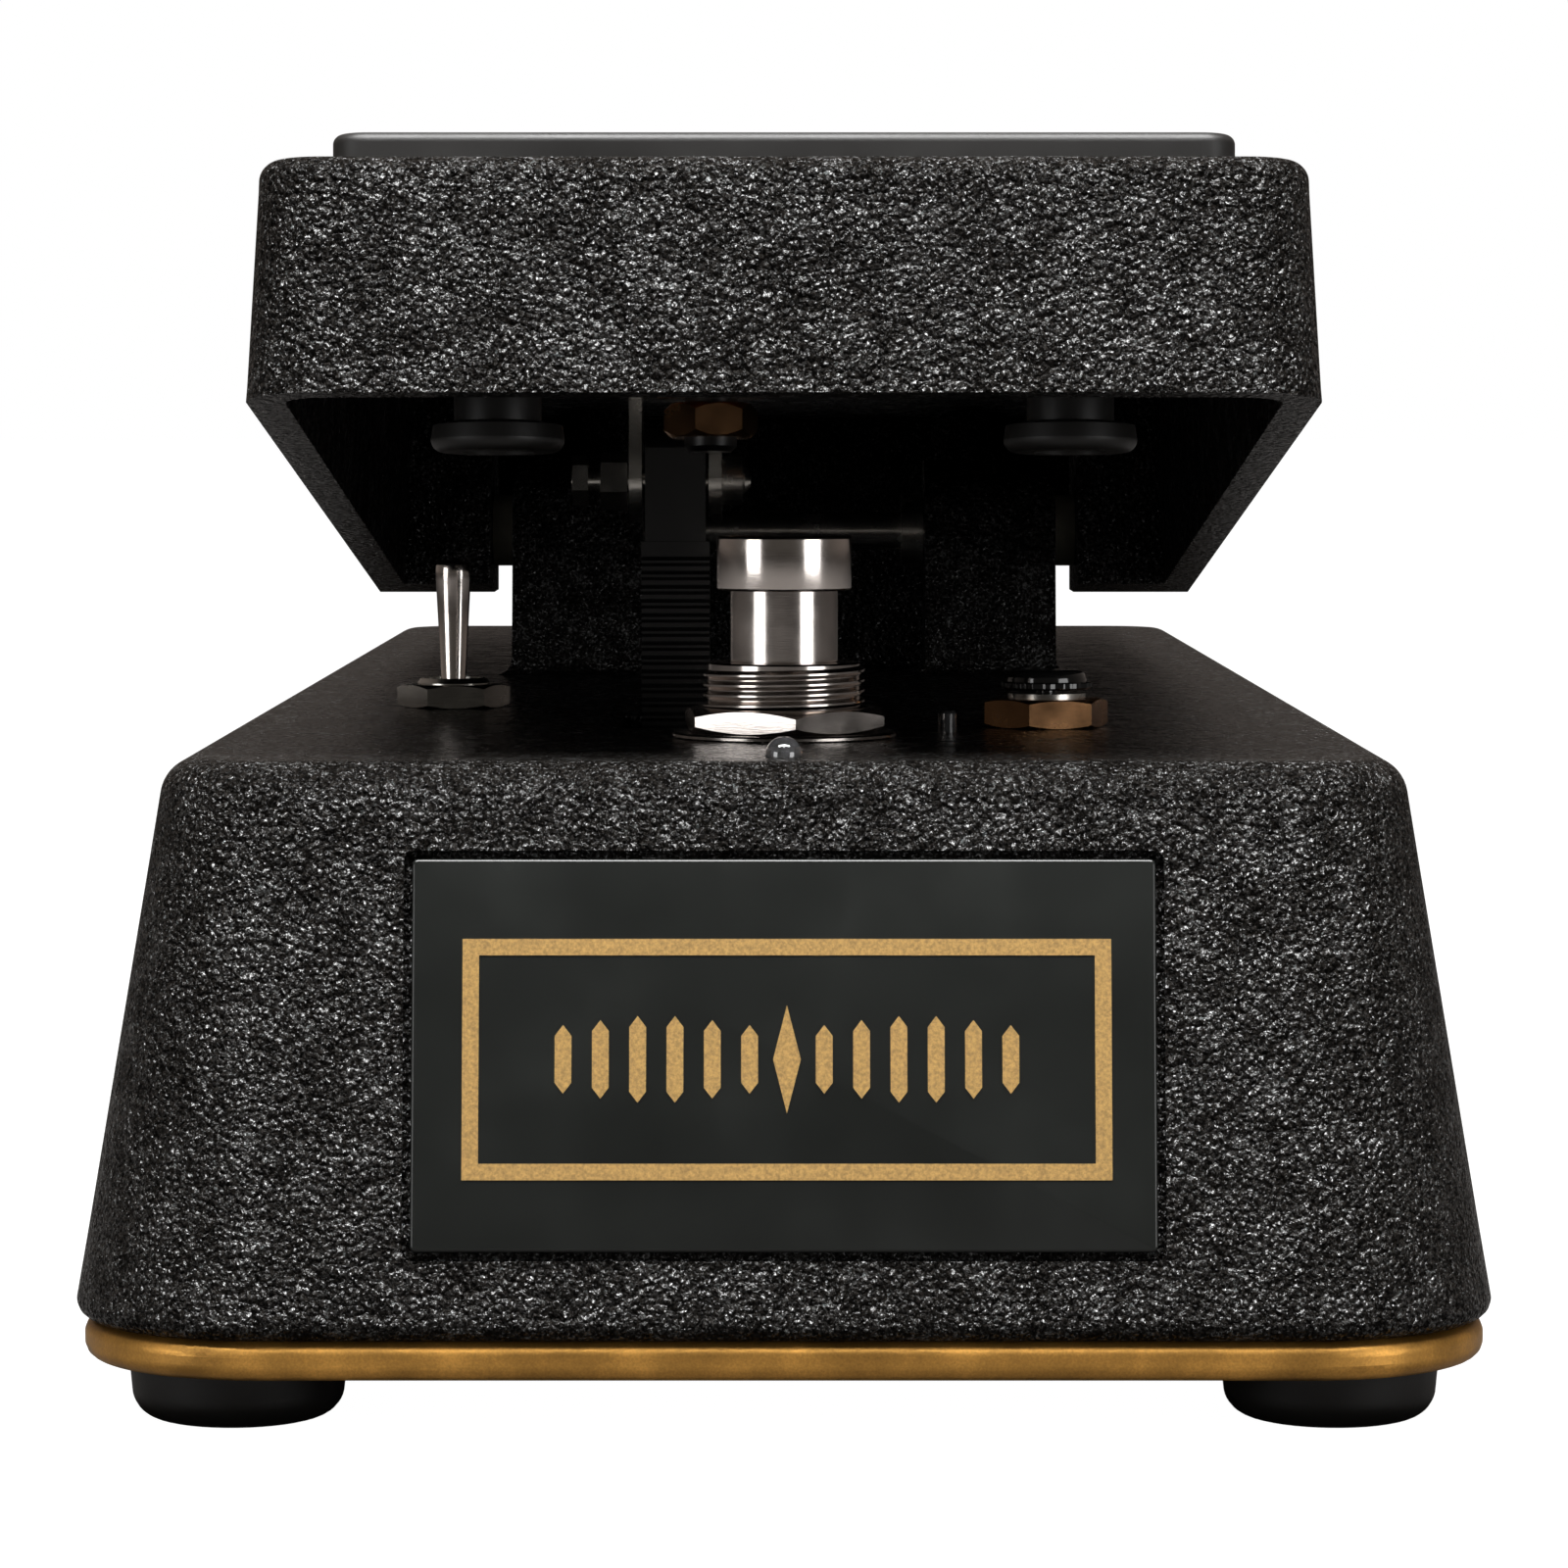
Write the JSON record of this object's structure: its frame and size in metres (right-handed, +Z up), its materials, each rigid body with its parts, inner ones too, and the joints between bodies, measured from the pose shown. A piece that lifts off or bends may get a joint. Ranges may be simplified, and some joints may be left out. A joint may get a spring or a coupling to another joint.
{
  "type": "wah pedal",
  "caption": "Rocker pedal for an electric guitar: cast base, tilting treadle that drives a rack and pinion pot, footswitch under the toe, toggle, jacks.",
  "frame": {"origin": "centre of the footprint, on the surface that the feet stand on", "axes": "+Z up, -Y towards the toe end with the name plate, +X right as seen from the toe end"},
  "size_m": [0.1014, 0.2536, 0.0901],
  "materials": {
    "hammertone": "black hammered enamel on die-cast metal",
    "gold_paint": "satin metallic gold enamel",
    "black_rubber": "matt moulded rubber",
    "badge_enamel": "satin black enamel with gold print",
    "nickel": "bright nickel plating",
    "steel": "zinc-plated steel",
    "yellow_zinc": "yellow chromate zinc plating",
    "black_steel": "black oxide",
    "black_nylon": "moulded nylon",
    "gloss_black": "polished moulded plastic",
    "white_nylon": "natural nylon",
    "light_lens": "smoked water-clear epoxy",
    "board": "green solder mask on glass epoxy",
    "ferrite": "lacquered potted coil",
    "film_cap": "dipped epoxy",
    "battery_case": "plain printed steel can",
    "foam": "open-cell foam"
  },
  "bodies": {
    "base": {"base_shell": "hammertone", "bottom_plate": "gold_paint", "rubber_feet": "black_rubber", "foot_screws": "steel", "name_plate": "badge_enamel", "hinge_rod": "steel", "hinge_collars": "steel", "pot_bushing": "steel", "pot_nut": "steel", "pot_body": "steel", "pot_bracket": "steel", "pot_bracket_screws": "steel", "rack_guide": "white_nylon", "footswitch_washer": "nickel", "footswitch_nut": "nickel", "footswitch_body": "nickel", "toggle_body": "steel", "toggle_nut": "steel", "status_light": "light_lens", "trim_nut": "yellow_zinc", "trim_pot": "steel", "light_stub": "light_lens", "input_jack": "black_nylon", "input_jack_nut": "nickel", "input_jack_washer": "nickel", "output_jack": "black_nylon", "output_jack_nut": "nickel", "output_jack_washer": "nickel", "power_socket": "gloss_black", "circuit_board": "board", "board_standoffs": "white_nylon", "board_screws": "steel", "filter_inductor": "ferrite", "capacitors": "film_cap", "battery": "battery_case", "battery_snap": "black_nylon", "battery_foam": "foam"},
    "treadle": {"treadle_shell": "hammertone", "tread_pad": "black_rubber", "toe_bumpers": "black_rubber", "heel_bumpers": "black_rubber", "toe_bumper_screws": "steel", "heel_bumper_screws": "steel", "striker_pad": "black_rubber", "hinge_washers": "white_nylon", "rack_bracket": "steel", "bracket_screw": "black_steel", "bracket_washer": "yellow_zinc", "bracket_nut": "yellow_zinc", "rack_bolt": "steel", "rack_bolt_nuts": "steel"},
    "rack": {"rack": "black_nylon"},
    "pinion": {"pinion": "white_nylon", "pot_shaft": "steel"},
    "footswitch_button": {"footswitch_button": "nickel"},
    "toggle_lever": {"toggle_lever": "nickel"},
    "trim_knob": {"trim_knob": "gloss_black"}
  },
  "joints": [
    {"name": "treadle_tilt", "type": "hinge", "parent": "base", "child": "treadle", "pos_m": [0, 0.015, 0.0597], "axis": [1, 0, 0], "range_deg": [0, 9.5]},
    {"name": "rack_slide", "type": "slide", "parent": "base", "child": "rack", "axis": [0, 0, 1], "range_m": [-0.0145, 0.0004]},
    {"name": "pinion_turn", "type": "hinge", "parent": "base", "child": "pinion", "pos_m": [-0.00845, -0.07392, 0.03], "axis": [1, 0, 0], "range_deg": [-212, 6]},
    {"name": "footswitch_press", "type": "slide", "parent": "base", "child": "footswitch_button", "axis": [0, 0, -1], "range_m": [0, 0.002], "stiffness_N_per_m": 2500, "springref_m": -0.001},
    {"name": "toggle_tilt", "type": "hinge", "parent": "base", "child": "toggle_lever", "pos_m": [-0.027, -0.049, 0.0462], "axis": [0, 1, 0], "range_deg": [-12, 12]},
    {"name": "trim_turn", "type": "hinge", "parent": "base", "child": "trim_knob", "pos_m": [0.0201, -0.077, 0.049], "axis": [0, 0, 1], "range_deg": [-150, 150]}
  ],
  "couplings": [
    {"joint": "rack_slide", "follows": "treadle_tilt", "m_per_rad": -0.082},
    {"joint": "pinion_turn", "follows": "treadle_tilt", "ratio": -21.299}
  ]
}
